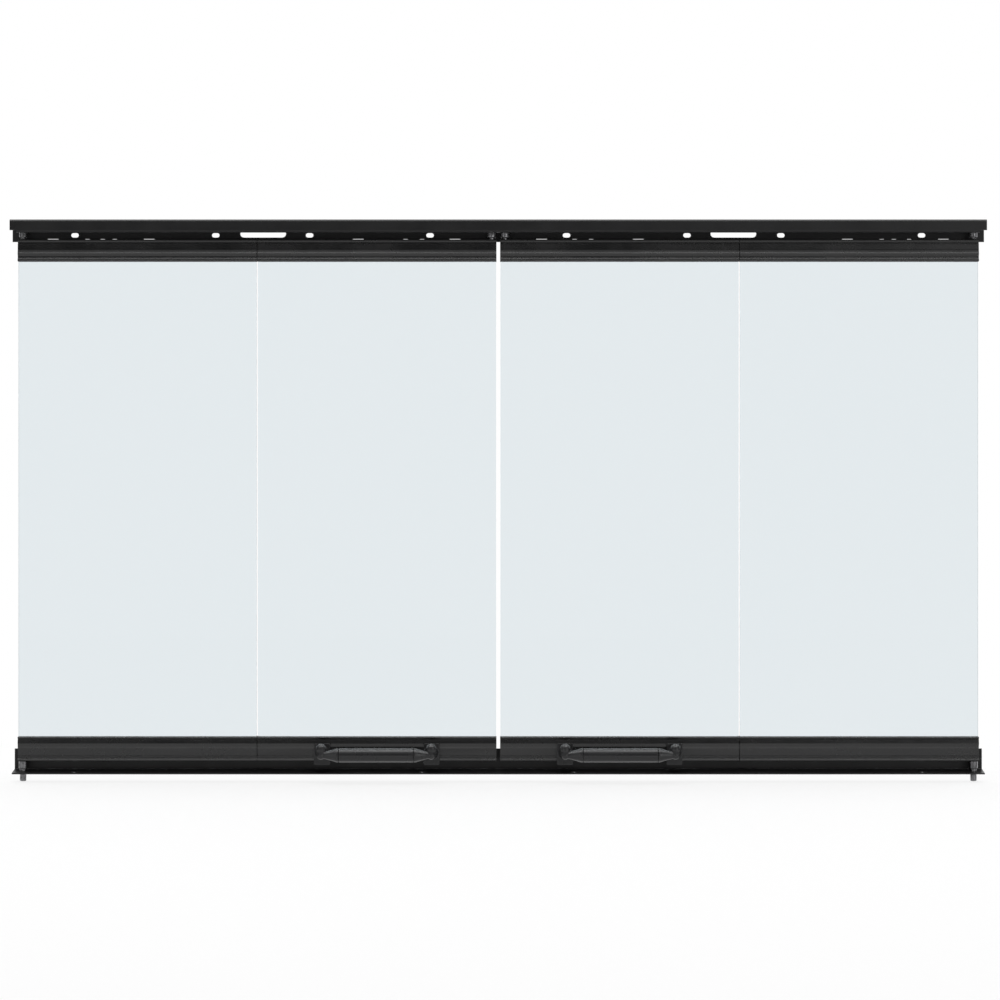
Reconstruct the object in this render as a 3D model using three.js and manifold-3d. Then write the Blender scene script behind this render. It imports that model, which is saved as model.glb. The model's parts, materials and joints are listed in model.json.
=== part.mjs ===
// A bi-fold glass door set for a built-in fireplace: two tracks, and a left and a right pair of
// hinged glass panels that fold out into the room.
//
// Millimetres. X runs along the tracks, -Y points into the room and +Z up. The origin is the
// middle of the bottom track's rear face, which lies on the fireplace's front frame.

import * as THREE from "three";
import { mergeVertices } from "three/addons/utils/BufferGeometryUtils.js";
import Module from "manifold-3d";

// ---- Driving dimensions -------------------------------------------------------------------

// Tracks, folded from steel sheet
const SHEET = 1.2;
const BEND_RADIUS = 2.0; // outside radius of each fold
const TRACK_DEPTH = 22;
const TOP_OVERHANG = 6.7; // of a track beyond the outer ends of the rails
const BOTTOM_OVERHANG = 4.7;
const LIP_HEIGHT = 12.3; // front lip of the top track
const HEM_DEPTH = 2.6; // turned-in lower edge of the lip
const HEM_NOTCH = { length: 6.5, height: 2.2 }; // cut away at each end of the lip's lower edge
const TOP_WALL_HEIGHT = 19.7;
const BOTTOM_WALL_HEIGHT = 20;
const WEB_FALL = 2.7; // the bottom web drops this much towards the room
// Slots in the top wall; lift is from the wall's lower edge to the slot's
const SCREW_SLOT = { length: 7.2, height: 4.2, lift: 4.2, places: [64, 177, 265, 397] };
const AIR_SLOT = { length: 43, height: 7, lift: 4.2, places: [220.5] };
// Notches in the wall's lower edge, seen just over the rails
const LONG_NOTCH = { length: 10, height: 2.9, places: [40.6, 131.3, 327.4, 417.5] };
const SHORT_NOTCH = { length: 4, height: 2.8, places: [71.6, 87, 359.7, 371, 385.3] };
const WEB_HOLE = { radius: 3.25, fromFront: 6, places: [71, 396] };

// Panels
const PANEL_WIDTH = 223.25;
const PANEL_HEIGHT = 487.2; // over both rails
const HINGE_GAP = 0.6; // between the rails of one pair
const CENTRE_GAP = 3.4; // between the two pairs
const PANEL_LIFT = 9.2; // bottom rail above the bottom track's wall foot
const HEAD_GAP = 17.1; // top rail to the underside of the top track
const PIN_LINE = 11; // pivots and guides stand this far in front of the rear face
const PIN_INSET = 4.5; // from a rail's end
const GLASS = { thickness: 4, endInset: 0.3, arris: 0.4 };

// Rail section
const RAIL_DEPTH = 11;
const TOP_RAIL_HEIGHT = 20.5;
const BOTTOM_RAIL_HEIGHT = 22.8;
const OUTER_GROOVE = 1.9; // groove beside the outer bead
const GLASS_GROOVE = 1.2; // groove beside the bead along the glass
const OUTER_GROOVE_DEPTH = 2.1;
const GLASS_GROOVE_DEPTH = 1.4;
const GROOVE_SLOPE = 0.3;
const FACE_SETBACK = 0.85; // the flat face lies behind the ridge's crest
// Curves of the section as [distance along it, setback behind the ridge's crest]
const BEAD_CURVE = [[0, 0.8], [0.25, 0.4], [0.7, 0.15], [1.2, 0.1], [1.7, 0.15], [2.15, 0.4], [2.4, 0.8]];
const RIDGE_CURVE = [
  [0, 0.85], [1, 0.52], [2, 0.2], [2.6, 0.03], [3, 0], [3.4, 0.05], [4.3, 0.33], [5.2, 0.6], [6.1, 0.78],
];
const RIDGE_WIDTH = 7; // from the glass-side groove to where the ridge runs out into the face
const RAIL_CHAMFER = 0.5;
const FLANGE = 5; // solid outer flange of a rail
const RAIL_WALL = 1.6;
const RAIL_WEB = 1.4; // between glass pocket and chamber
const POCKET = { width: 6.8, depth: 9 };
const GASKET = { wall: 0.8, base: 1, lipInset: 0.3 };
const BLOCK_LENGTH = 18;
const BLOCK_FLOOR = 0.6; // left under a blind bore

// Pins
const SEAT_GAP = 0.3; // between pieces that touch
const TOP_PIVOT = { stem: 1.6, body: 3.7, head: 3, lift: 2.2, travel: 1.8, round: 0.7, chamfer: 0.5 };
const SPRING = { coil: 2.3, wire: 0.8, curls: 6, bore: 2.95 };
const BOTTOM_PIVOT = { shank: 2.5, post: 4.1, spigot: 3, round: 1.6, reach: 10.3, tipRound: 1 };
const GUIDE = { shank: 2.5, body: 4.35, lift: 1.5, round: 1.2 };
const GLIDE = { radius: 5.7, low: 8, high: 14.5, chamfer: 0.8 }; // the guide pin's head, above the rail

// Hinges on the rails' backs
const HINGE_AXIS_OFFSET = 2.6; // behind the rails' back face
const LEAF = { width: 24, thickness: 1.2 };
const KNUCKLE_RADIUS = 2.2;
const KNUCKLES = 3;
const HINGE_PIN = { radius: 1.1, head: 1.7, headHeight: 0.8 };
const TOP_HINGE_HEIGHT = 13.5;
const BOTTOM_HINGE_HEIGHT = 10;
const HINGE_CLEARANCE = 1; // between a hinge and the edge of the track's wall beside it
const RIVET = { radius: 2, edge: 0.2, height: 0.8, fromAxis: [9, 18] };

// Handles
const HANDLE_SPACING = 102.2; // between the two mounts of a handle
const HANDLE_PLATE = { width: 15, height: 20, thickness: 2.4, drop: 3.4, corner: 1 };
const GRIP = { radius: 6.6, length: 69.2, standoff: 24, height: 7.2, chamfer: 0.5 };
const GRIP_BORE = { radius: 3.3, depth: 10 };
const BALL = { radius: 5.3, rise: 5.2, back: 2 }; // above and behind the grip's axis
const STEM = { foot: 5, top: 4.4 };
const NECK_RADIUS = 4.1;
const HORN = { throat: 3, land: 1.6, curve: 1.3, steps: [0, 0.35, 0.7, 1] };
const SPIGOT = { radius: 3, length: 8 };
const SCREW = { radius: 2, head: 4, headHeight: 2.2, grip: 7 };

const ROUND = 24; // sides of a pin
const HANDLE_ROUND = 16; // sides of the handle's round pieces
const SMALL_ROUND = 12; // sides of screws, rivets, knuckles and bores
const BEND_STEPS = 3;

// ---- Places that follow from them -----------------------------------------------------------

const wallFoot = -BOTTOM_WALL_HEIGHT / 2;
const bottomRailFoot = wallFoot + PANEL_LIFT;
const topRailHead = bottomRailFoot + PANEL_HEIGHT;
const trackCeiling = topRailHead + HEAD_GAP;
const trackTop = trackCeiling + SHEET;
const topWallFoot = trackTop - TOP_WALL_HEIGHT;
const railBack = RAIL_DEPTH / 2 - PIN_LINE;
const railFront = railBack - RAIL_DEPTH;
const hingeAxisY = railBack + HINGE_AXIS_OFFSET;
const halfPanel = PANEL_WIDTH / 2;
const hingeX = CENTRE_GAP / 2 + PANEL_WIDTH + HINGE_GAP / 2;
const innerCentre = CENTRE_GAP / 2 + halfPanel;
const outerCentre = hingeX + HINGE_GAP / 2 + halfPanel;
const railEnd = outerCentre + halfPanel;
const topTrackLength = 2 * (railEnd + TOP_OVERHANG);
const bottomTrackLength = 2 * (railEnd + BOTTOM_OVERHANG);
const pivotX = railEnd - PIN_INSET;
const gripY = railFront - GRIP.standoff;
const gripZ = bottomRailFoot + GRIP.height;

// Height of the bottom web's upper face at depth y
function webTop(y) {
  return wallFoot + SHEET - (WEB_FALL * (-y - SHEET)) / (TRACK_DEPTH - SHEET);
}

// ---- Solids -----------------------------------------------------------------------------------

const wasm = await Module();
wasm.setup();

// A geometry as a solid whose shared vertices are merged
function solid(geometry) {
  const bare = geometry.index ? geometry.toNonIndexed() : geometry.clone();
  for (const name of Object.keys(bare.attributes)) {
    if (name !== "position") bare.deleteAttribute(name);
  }
  const merged = mergeVertices(bare, 1e-4);
  return new wasm.Manifold(
    new wasm.Mesh({
      numProp: 3,
      vertProperties: merged.attributes.position.array,
      triVerts: new Uint32Array(merged.index.array),
    }),
  );
}

function geometryOf(body) {
  const mesh = body.getMesh();
  const positions = new Float32Array(mesh.numVert * 3);
  for (let i = 0; i < mesh.numVert; i++) {
    positions.set(mesh.vertProperties.subarray(i * mesh.numProp, i * mesh.numProp + 3), i * 3);
  }
  const geometry = new THREE.BufferGeometry();
  geometry.setAttribute("position", new THREE.BufferAttribute(positions, 3));
  geometry.setIndex(new THREE.BufferAttribute(mesh.triVerts, 1));
  geometry.computeVertexNormals();
  return geometry;
}

function join(...geometries) {
  return geometryOf(geometries.map(solid).reduce((whole, piece) => whole.add(piece)));
}

function cut(geometry, ...tools) {
  return geometryOf(tools.map(solid).reduce((whole, tool) => whole.subtract(tool), solid(geometry)));
}

// ---- Shapes -----------------------------------------------------------------------------------

const X = new THREE.Vector3(1, 0, 0);
const Y = new THREE.Vector3(0, 1, 0);
const Z = new THREE.Vector3(0, 0, 1);

function shapeOf(points, holes = []) {
  const shape = new THREE.Shape(points.map(([a, b]) => new THREE.Vector2(a, b)));
  for (const hole of holes) {
    shape.holes.push(new THREE.Path(hole.map(([a, b]) => new THREE.Vector2(a, b))));
  }
  return shape;
}

function rectangle(lowA, lowB, highA, highB) {
  return [[lowA, lowB], [highA, lowB], [highA, highB], [lowA, highB]];
}

// A section in the YZ plane, drawn out along X about the middle of its length
function alongX(shape, length) {
  const bar = new THREE.ExtrudeGeometry(shape, { depth: length, bevelEnabled: false });
  bar.translate(0, 0, -length / 2);
  return bar.applyMatrix4(new THREE.Matrix4().makeBasis(Y, Z, X));
}

// An outline in the XZ plane, drawn out from the plane y = back towards the room
function towardsRoom(shape, back, depth) {
  const plate = new THREE.ExtrudeGeometry(shape, { depth, bevelEnabled: false });
  return plate.applyMatrix4(new THREE.Matrix4().makeBasis(X, Z, Y.clone().negate()))
    .translate(0, back, 0);
}

// An outline in the XY plane, raised from z = low to z = high
function upright(shape, low, high) {
  return new THREE.ExtrudeGeometry(shape, { depth: high - low, bevelEnabled: false })
    .translate(0, 0, low);
}

// A [radius, height] profile turned about a line through the origin, from the axis to the axis
function turned(profile, axis = Z, sides = ROUND) {
  const points = profile.map(([radius, height]) => new THREE.Vector2(radius, height));
  const piece = new THREE.LatheGeometry(points, sides);
  return piece.applyQuaternion(new THREE.Quaternion().setFromUnitVectors(Y, axis));
}

function cylinder(radius, low, high, axis = Z, sides = ROUND) {
  return turned([[0, low], [radius, low], [radius, high], [0, high]], axis, sides);
}

// Quarter-round corner of a turned profile, from [radius - round, low] up to [radius, low + round]
function roundUnder(radius, low, round) {
  return [0, 1, 2, 3].map((step) => {
    const angle = (step / 3) * (Math.PI / 2);
    return [radius - round + round * Math.sin(angle), low + round - round * Math.cos(angle)];
  });
}

// The outline of a slot with round ends, centred on [x, z]
function slotOutline(x, z, length, height) {
  const radius = height / 2;
  const steps = SMALL_ROUND / 2;
  const outline = [];
  for (const [centre, start] of [[x + length / 2 - radius, -Math.PI / 2],
    [x - length / 2 + radius, Math.PI / 2]]) {
    for (let step = 0; step <= steps; step++) {
      const angle = start + (Math.PI * step) / steps;
      outline.push([centre + radius * Math.cos(angle), z + radius * Math.sin(angle)]);
    }
  }
  return outline;
}

// The outline of folded sheet. The corners run clockwise along its outer face.
function foldedSheet(corners) {
  const face = [];
  const back = [];
  const points = corners.map(([a, b]) => new THREE.Vector2(a, b));
  const rightOf = (way) => new THREE.Vector2(way.y, -way.x);
  const origin = new THREE.Vector2();
  points.forEach((corner, i) => {
    const arriving = i > 0 ? corner.clone().sub(points[i - 1]).normalize() : null;
    const leaving = i < points.length - 1 ? points[i + 1].clone().sub(corner).normalize() : null;
    if (!arriving || !leaving) {
      face.push(corner);
      back.push(corner.clone().addScaledVector(rightOf(arriving || leaving), SHEET));
      return;
    }
    const turn = Math.acos(arriving.dot(leaving));
    const inward = rightOf(arriving);
    const centre = corner.clone()
      .addScaledVector(arriving, -BEND_RADIUS * Math.tan(turn / 2))
      .addScaledVector(inward, BEND_RADIUS);
    for (let step = 0; step <= BEND_STEPS; step++) {
      const outward = inward.clone().negate().rotateAround(origin, (-turn * step) / BEND_STEPS);
      face.push(centre.clone().addScaledVector(outward, BEND_RADIUS));
      back.push(centre.clone().addScaledVector(outward, BEND_RADIUS - SHEET));
    }
  });
  return new THREE.Shape([...face, ...back.reverse()]);
}

// ---- Materials --------------------------------------------------------------------------------

function material(color, roughness, metalness, extra = {}) {
  return new THREE.MeshStandardMaterial({ color, roughness, metalness, ...extra });
}

const satinBlack = () => material(0x1d1d1f, 0.5, 0.6);
const railBlack = () => material(0x2b2b2d, 0.45, 0.6);
const handleBlack = () => material(0x303032, 0.3, 0.7);
const clearGlass = () => material(0xdfe8ea, 0.05, 0, { transparent: true, opacity: 0.35 });
const rubber = () => material(0x161616, 0.85, 0);
const nylon = () => material(0x1a1a1b, 0.55, 0);
const steel = () => material(0x6a6b6e, 0.35, 0.9);

const door = new THREE.Group();

function place(parent, name, geometry, finish, x = 0, y = 0, z = 0) {
  const mesh = new THREE.Mesh(geometry, finish());
  mesh.name = name;
  mesh.position.set(x, y, z);
  parent.add(mesh);
}

// ---- Tracks -----------------------------------------------------------------------------------

const bothSides = (places) => places.flatMap((place) => [-place, place]);

function topTrack() {
  const lipFoot = trackTop - LIP_HEIGHT;
  const section = foldedSheet([
    [-TRACK_DEPTH + HEM_DEPTH, lipFoot],
    [-TRACK_DEPTH, lipFoot],
    [-TRACK_DEPTH, trackTop],
    [0, trackTop],
    [0, topWallFoot],
  ]);
  const slots = [SCREW_SLOT, AIR_SLOT].flatMap((slot) => {
    const middle = topWallFoot + slot.lift + slot.height / 2;
    return bothSides(slot.places).map((x) =>
      towardsRoom(shapeOf(slotOutline(x, middle, slot.length, slot.height)), SHEET, 3 * SHEET));
  });
  const wallNotches = [LONG_NOTCH, SHORT_NOTCH].flatMap((notch) =>
    bothSides(notch.places).map((x) =>
      new THREE.BoxGeometry(notch.length, 4 * SHEET, 2 * notch.height).translate(x, 0, topWallFoot)),
  );
  const hemNotches = bothSides([topTrackLength / 2]).map((x) =>
    new THREE.BoxGeometry(2 * HEM_NOTCH.length, 4 * HEM_DEPTH, 2 * HEM_NOTCH.height)
      .translate(x, -TRACK_DEPTH, lipFoot),
  );
  const pivotHoles = bothSides([pivotX]).map((x) =>
    cylinder(TOP_PIVOT.head + SEAT_GAP, trackCeiling - SHEET, trackTop + SHEET)
      .translate(x, -PIN_LINE, 0),
  );
  return cut(alongX(section, topTrackLength), ...slots, ...wallNotches, ...hemNotches,
    ...pivotHoles);
}

function bottomTrack() {
  const section = foldedSheet([
    [0, -wallFoot],
    [0, wallFoot],
    [-TRACK_DEPTH, wallFoot - WEB_FALL],
  ]);
  const below = wallFoot - WEB_FALL - SHEET;
  const above = wallFoot + 2 * SHEET;
  const holes = bothSides(WEB_HOLE.places).map((x) =>
    cylinder(WEB_HOLE.radius, below, above, Z, HANDLE_ROUND)
      .translate(x, WEB_HOLE.fromFront - TRACK_DEPTH, 0),
  );
  const pivotHoles = bothSides([pivotX]).map((x) =>
    cylinder(BOTTOM_PIVOT.spigot + SEAT_GAP, below, above).translate(x, -PIN_LINE, 0),
  );
  return cut(alongX(section, bottomTrackLength), ...holes, ...pivotHoles);
}

// ---- Rails, gaskets and glass -------------------------------------------------------------------

// Both rails have one section, turned over: h runs from the outer edge to the glass edge.
// `edge` is the outer edge's height and `way` is +1 where the glass lies above it.
function railSection(height, edge, way) {
  const beadWidth = BEAD_CURVE.at(-1)[0];
  const face = beadWidth + OUTER_GROOVE;
  const glassBead = height - beadWidth;
  const ridge = glassBead - GLASS_GROOVE;
  const lip = (RAIL_DEPTH - POCKET.width) / 2;
  const outline = [
    ...BEAD_CURVE.map(([along, setback]) => [setback, along]),
    [OUTER_GROOVE_DEPTH, beadWidth + GROOVE_SLOPE],
    [OUTER_GROOVE_DEPTH, face - GROOVE_SLOPE],
    [FACE_SETBACK, face],
    [FACE_SETBACK, ridge - RIDGE_WIDTH],
    ...RIDGE_CURVE.map(([along, setback]) => [setback, ridge - along]).reverse(),
    [GLASS_GROOVE_DEPTH, ridge + GROOVE_SLOPE],
    [GLASS_GROOVE_DEPTH, glassBead - GROOVE_SLOPE],
    ...BEAD_CURVE.map(([along, setback]) => [setback, height - along]).reverse(),
    [lip, height],
    [lip, height - POCKET.depth],
    [RAIL_DEPTH - lip, height - POCKET.depth],
    [RAIL_DEPTH - lip, height],
    [RAIL_DEPTH - RAIL_CHAMFER, height],
    [RAIL_DEPTH, height - RAIL_CHAMFER],
    [RAIL_DEPTH, RAIL_CHAMFER],
    [RAIL_DEPTH - RAIL_CHAMFER, 0],
  ];
  const chamber = rectangle(RAIL_WALL, FLANGE, RAIL_DEPTH - RAIL_WALL, chamberTop(height));
  const seat = ([depth, h]) => [railFront + depth, edge + way * h];
  return shapeOf(outline.map(seat), [chamber.map(seat)]);
}

function chamberTop(height) {
  return height - POCKET.depth - RAIL_WEB;
}

function topRail(...tools) {
  return cut(alongX(railSection(TOP_RAIL_HEIGHT, topRailHead, -1), PANEL_WIDTH), ...tools);
}

function bottomRail(...tools) {
  return cut(alongX(railSection(BOTTOM_RAIL_HEIGHT, bottomRailFoot, 1), PANEL_WIDTH), ...tools);
}

// A U of rubber in a rail's glass pocket. `floor` is the height of the pocket's floor.
function gasket(floor, way) {
  const outer = POCKET.width / 2 - SEAT_GAP;
  const inner = outer - GASKET.wall;
  const base = SEAT_GAP;
  const top = POCKET.depth - GASKET.lipInset;
  const outline = [
    [-outer, base],
    [outer, base],
    [outer, top],
    [inner, top],
    [inner, base + GASKET.base],
    [-inner, base + GASKET.base],
    [-inner, top],
    [-outer, top],
  ];
  const shape = shapeOf(outline.map(([depth, h]) => [depth - PIN_LINE, floor + way * h]));
  return alongX(shape, PANEL_WIDTH - 2 * GLASS.endInset);
}

const topPocketFloor = topRailHead - TOP_RAIL_HEIGHT + POCKET.depth;
const bottomPocketFloor = bottomRailFoot + BOTTOM_RAIL_HEIGHT - POCKET.depth;
const glassSeat = 2 * SEAT_GAP + GASKET.base;

function glassPanel() {
  const low = bottomPocketFloor + glassSeat;
  const high = topPocketFloor - glassSeat;
  const half = halfPanel - GLASS.endInset;
  const arris = GLASS.arris;
  const shape = shapeOf(rectangle(-half + arris, low + arris, half - arris, high - arris));
  const sheet = new THREE.ExtrudeGeometry(shape, {
    depth: GLASS.thickness - 2 * arris,
    bevelSize: arris,
    bevelThickness: arris,
    bevelSegments: 1,
  });
  return sheet.applyMatrix4(new THREE.Matrix4().makeBasis(X, Z, Y.clone().negate()))
    .translate(0, GLASS.thickness / 2 - arris - PIN_LINE, 0);
}

// ---- End blocks and pins ------------------------------------------------------------------------

const topBoreFloor = topRailHead - chamberTop(TOP_RAIL_HEIGHT) + SEAT_GAP + BLOCK_FLOOR;
const bottomBoreFloor = bottomRailFoot + chamberTop(BOTTOM_RAIL_HEIGHT) - SEAT_GAP - BLOCK_FLOOR;

// A block that fills the end of a rail's chamber, bored for a pin. `toEnd` is the side of the
// panel on which the end lies.
function endBlock(low, high, toEnd, boreRadius, boreLow, boreHigh) {
  const half = RAIL_DEPTH / 2 - RAIL_WALL - SEAT_GAP;
  const section = shapeOf(rectangle(-half, low + SEAT_GAP, half, high - SEAT_GAP));
  const body = alongX(section, BLOCK_LENGTH)
    .translate(toEnd * (halfPanel - BLOCK_LENGTH / 2 - SEAT_GAP), -PIN_LINE, 0);
  const bore = cylinder(boreRadius, boreLow, boreHigh)
    .translate(toEnd * (halfPanel - PIN_INSET), -PIN_LINE, 0);
  return cut(body, bore);
}

function topBlock(toEnd, boreRadius) {
  const low = topRailHead - chamberTop(TOP_RAIL_HEIGHT);
  return endBlock(low, topRailHead - FLANGE, toEnd, boreRadius, topBoreFloor, topRailHead);
}

function bottomBlock(toEnd, boreRadius) {
  const high = bottomRailFoot + chamberTop(BOTTOM_RAIL_HEIGHT);
  return endBlock(bottomRailFoot + FLANGE, high, toEnd, boreRadius, bottomRailFoot, bottomBoreFloor);
}

// The tool that bores a rail's outer flange for a pin at the panel's end
function flangeBore(radius, flangeEdge, toEnd) {
  return cylinder(radius, flangeEdge - FLANGE - 1, flangeEdge + FLANGE + 1)
    .translate(toEnd * (halfPanel - PIN_INSET), -PIN_LINE, 0);
}

// Stem inside the spring, body below the track, and a head in the track's hole
function topPivotPin() {
  const { stem, body, head, lift, travel, round, chamfer } = TOP_PIVOT;
  const foot = topBoreFloor + travel + 2 * SEAT_GAP;
  const shoulder = topRailHead + lift;
  const stop = trackCeiling - SEAT_GAP;
  return turned([
    [0, foot],
    [stem, foot],
    [stem, shoulder],
    ...roundUnder(body, shoulder, round),
    [body, stop],
    [head, stop],
    [head, trackTop - chamfer],
    [head - chamfer, trackTop],
    [0, trackTop],
  ]);
}

// Shank in the block, round-ended body and a wide glide that runs inside the top track
function guidePin() {
  const { shank, body, lift, round } = GUIDE;
  const { radius, chamfer } = GLIDE;
  const low = topRailHead + GLIDE.low;
  const high = topRailHead + GLIDE.high;
  return turned([
    [0, topBoreFloor + SEAT_GAP],
    [shank, topBoreFloor + SEAT_GAP],
    [shank, topRailHead + lift],
    ...roundUnder(body, topRailHead + lift, round),
    [body, low],
    [radius - chamfer, low],
    [radius, low + chamfer],
    [radius, high - chamfer],
    [radius - chamfer, high],
    [0, high],
  ]);
}

// Shank in the block, post below the rail, and a spigot through the web. The post's rounded end
// rests on the rim of the web's hole and carries the panel.
function bottomPivotPin() {
  const { shank, post, spigot, round, reach, tipRound } = BOTTOM_PIVOT;
  const rim = webTop(-PIN_LINE + spigot) + SEAT_GAP;
  const tip = rim - reach;
  return turned([
    [0, tip],
    ...roundUnder(spigot, tip, tipRound),
    [spigot, rim],
    [spigot + SEAT_GAP, rim],
    [post, rim + round],
    [post, bottomRailFoot - SEAT_GAP],
    [shank, bottomRailFoot - SEAT_GAP],
    [shank, bottomBoreFloor - SEAT_GAP],
    [0, bottomBoreFloor - SEAT_GAP],
  ]);
}

// ---- Springs --------------------------------------------------------------------------------------

const springFoot = topBoreFloor + SEAT_GAP;
const springHead = topRailHead + TOP_PIVOT.lift - SEAT_GAP;
const CURL_STEPS = 8;
const WIRE_SIDES = 5;

// Wire runs straight up for one diameter, winds round, and runs straight again to its other end
function springLine() {
  const { coil, wire, curls } = SPRING;
  const steps = curls * CURL_STEPS;
  const rise = springHead - springFoot - 2 * wire;
  const line = [new THREE.Vector3(coil, 0, springFoot)];
  for (let step = 0; step <= steps; step++) {
    const angle = (2 * Math.PI * step) / CURL_STEPS;
    const height = springFoot + wire + (rise * step) / steps;
    line.push(new THREE.Vector3(coil * Math.cos(angle), coil * Math.sin(angle), height));
  }
  line.push(new THREE.Vector3(coil, 0, springHead));
  return line;
}

// A closed tube whose rings stand square to the line at each of its points
function wireTube(line, radius) {
  const positions = [];
  const index = [];
  const side = new THREE.Vector3(0, 1, 0);
  line.forEach((point, i) => {
    const before = line[Math.max(i - 1, 0)];
    const after = line[Math.min(i + 1, line.length - 1)];
    const along = after.clone().sub(before).normalize();
    side.addScaledVector(along, -side.dot(along)).normalize();
    const across = along.clone().cross(side);
    for (let k = 0; k < WIRE_SIDES; k++) {
      const angle = (2 * Math.PI * k) / WIRE_SIDES;
      const corner = point.clone()
        .addScaledVector(side, radius * Math.cos(angle))
        .addScaledVector(across, radius * Math.sin(angle));
      positions.push(corner.x, corner.y, corner.z);
    }
  });
  const ring = (i, k) => i * WIRE_SIDES + (k % WIRE_SIDES);
  for (let i = 0; i < line.length - 1; i++) {
    for (let k = 0; k < WIRE_SIDES; k++) {
      index.push(ring(i, k), ring(i, k + 1), ring(i + 1, k));
      index.push(ring(i, k + 1), ring(i + 1, k + 1), ring(i + 1, k));
    }
  }
  for (let k = 1; k < WIRE_SIDES - 1; k++) {
    index.push(ring(0, 0), ring(0, k + 1), ring(0, k));
    index.push(ring(line.length - 1, 0), ring(line.length - 1, k), ring(line.length - 1, k + 1));
  }
  const tube = new THREE.BufferGeometry();
  tube.setAttribute("position", new THREE.Float32BufferAttribute(positions, 3));
  tube.setIndex(index);
  tube.computeVertexNormals();
  return tube;
}

// The least distance between two stretches of the wire that lie a half curl or more apart
function leastSelfGap(line, radius) {
  let least = Infinity;
  line.forEach((point, i) => {
    for (let j = i + CURL_STEPS / 2; j < line.length; j++) {
      least = Math.min(least, point.distanceTo(line[j]) - 2 * radius);
    }
  });
  return least;
}

const wireLine = springLine();
console.log("pivot spring: least gap between curls",
  leastSelfGap(wireLine, SPRING.wire / 2).toFixed(2), "mm");

// ---- Hinges -----------------------------------------------------------------------------------------

const topHinge = {
  low: topWallFoot - HINGE_CLEARANCE - TOP_HINGE_HEIGHT,
  height: TOP_HINGE_HEIGHT,
};
const bottomHinge = {
  low: -wallFoot + HINGE_CLEARANCE,
  height: BOTTOM_HINGE_HEIGHT,
};

// One leaf, with the hinge's axis on x = 0. `way` is the side on which its plate lies, and `own`
// lists the knuckles that are rolled from it, counted from below.
function hingeLeaf({ low, height }, way, own) {
  const plateFront = railBack + SEAT_GAP;
  const plate = upright(
    shapeOf(rectangle(
      Math.min(0, way * LEAF.width), plateFront, Math.max(0, way * LEAF.width),
      plateFront + LEAF.thickness,
    )),
    low,
    low + height,
  );
  const pitch = (height + SEAT_GAP) / KNUCKLES;
  const others = [];
  const knuckles = [];
  for (let k = 0; k < KNUCKLES; k++) {
    const foot = low + k * pitch;
    const head = foot + pitch - SEAT_GAP;
    if (own.includes(k)) {
      knuckles.push(cylinder(KNUCKLE_RADIUS, foot, head, Z, SMALL_ROUND).translate(0, hingeAxisY, 0));
    } else {
      others.push(
        cylinder(KNUCKLE_RADIUS + SEAT_GAP, foot - SEAT_GAP, head + SEAT_GAP, Z, SMALL_ROUND)
          .translate(0, hingeAxisY, 0),
      );
    }
  }
  const rivet = [
    [0, -RIVET.edge],
    [RIVET.radius, -RIVET.edge],
    [RIVET.radius, RIVET.edge],
    [RIVET.radius / 2, RIVET.height],
    [0, RIVET.height],
  ];
  const rivets = RIVET.fromAxis.map((distance) =>
    turned(rivet, Y, SMALL_ROUND)
      .translate(way * distance, plateFront + LEAF.thickness, low + height / 2),
  );
  const bore = cylinder(HINGE_PIN.radius + SEAT_GAP, low - 1, low + height + 1, Z, SMALL_ROUND)
    .translate(0, hingeAxisY, 0);
  return cut(join(cut(plate, ...others), ...knuckles, ...rivets), bore);
}

function hingePin({ low, height }) {
  const { radius, head, headHeight } = HINGE_PIN;
  const top = low + height + SEAT_GAP;
  return turned([
    [0, low],
    [radius, low],
    [radius, top],
    [head, top],
    [head, top + headHeight / 2],
    [head / 2, top + headHeight],
    [0, top + headHeight],
  ], Z, SMALL_ROUND);
}

// ---- Handles ------------------------------------------------------------------------------------------

const screwZ = bottomRailFoot + (FLANGE + chamberTop(BOTTOM_RAIL_HEIGHT)) / 2;
const plateBack = railFront - SEAT_GAP;
const plateFrontY = plateBack - HANDLE_PLATE.thickness;

// A round bar that tapers from one point to another
function taperedBar(from, to, fromRadius, toRadius) {
  const run = to.clone().sub(from);
  return turned([[0, 0], [fromRadius, 0], [toRadius, run.length()], [0, run.length()]],
    run.clone().normalize(), HANDLE_ROUND).translate(from.x, from.y, from.z);
}

function ball(centre, radius) {
  return new THREE.SphereGeometry(radius, HANDLE_ROUND, HANDLE_ROUND / 2)
    .translate(centre.x, centre.y, centre.z);
}

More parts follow.
